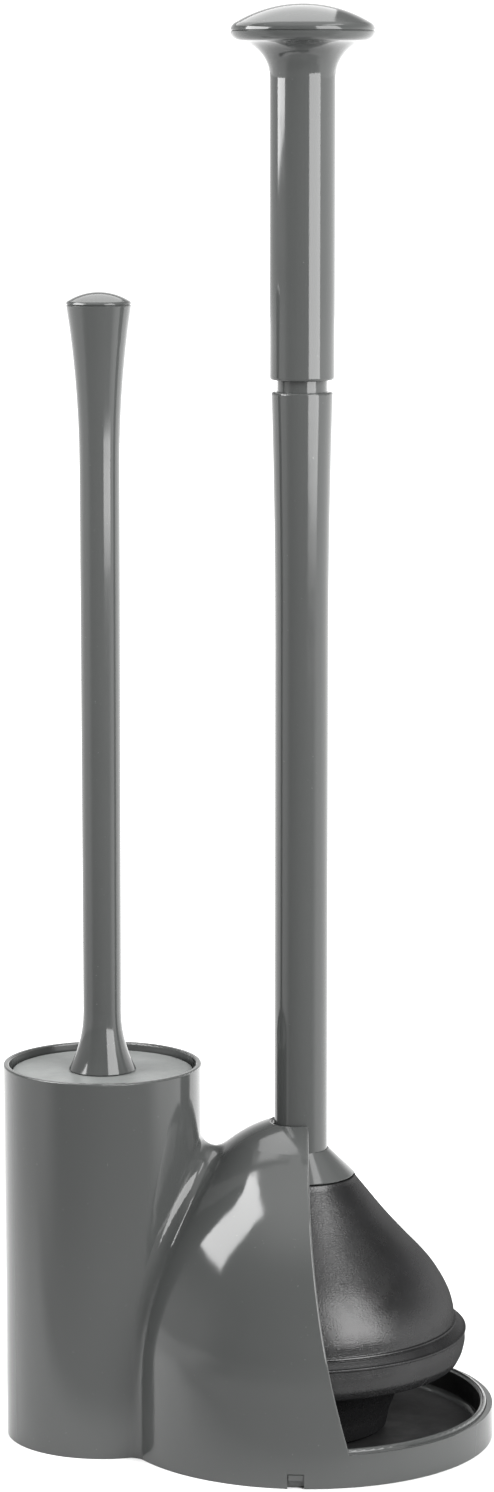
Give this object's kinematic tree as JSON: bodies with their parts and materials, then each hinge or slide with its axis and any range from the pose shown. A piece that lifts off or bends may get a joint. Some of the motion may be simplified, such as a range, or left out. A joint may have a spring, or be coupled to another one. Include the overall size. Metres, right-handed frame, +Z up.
{
  "type": "toilet plunger and brush set",
  "caption": "Toilet plunger with a rubber cup and a lidded toilet brush, standing side by side in a moulded holder with a canister and a side-open dome.",
  "frame": {"origin": "middle of the holder's footprint, on the floor", "axes": "+Z up, +X from the brush canister towards the plunger, +Y away from the viewer; symmetric about the XZ plane"},
  "size_m": [0.1932, 0.1484, 0.56],
  "materials": {
    "shell_plastic": "moulded satin gloss",
    "tray_plastic": "moulded gloss",
    "handle_plastic": "moulded gloss",
    "lid_plastic": "fine matte",
    "cup_rubber": "satin moulded rubber",
    "hidden_plastic": "plain moulded",
    "bristle_nylon": "nylon filament"
  },
  "bodies": {
    "holder": {"holder_shell": "shell_plastic", "base_tray": "tray_plastic"},
    "brush": {"brush_lid": "lid_plastic", "brush_handle": "handle_plastic", "brush_handle_cap": "handle_plastic", "brush_hub": "hidden_plastic", "brush_bristles": "bristle_nylon"},
    "plunger": {"plunger_knob_cap": "handle_plastic", "plunger_grip": "handle_plastic", "plunger_coupler": "handle_plastic", "plunger_shaft": "handle_plastic", "shaft_plug": "hidden_plastic", "plunger_collar": "handle_plastic", "cup_hub": "hidden_plastic", "plunger_cup": "cup_rubber"}
  },
  "joints": [
    {"name": "brush_lift", "type": "slide", "parent": "holder", "child": "brush", "axis": [0, 0, 1], "range_m": [0, 0.1]},
    {"name": "plunger_draw", "type": "slide", "parent": "holder", "child": "plunger", "axis": [0.9397, 0, 0.342], "range_m": [0, 0.16]}
  ]
}
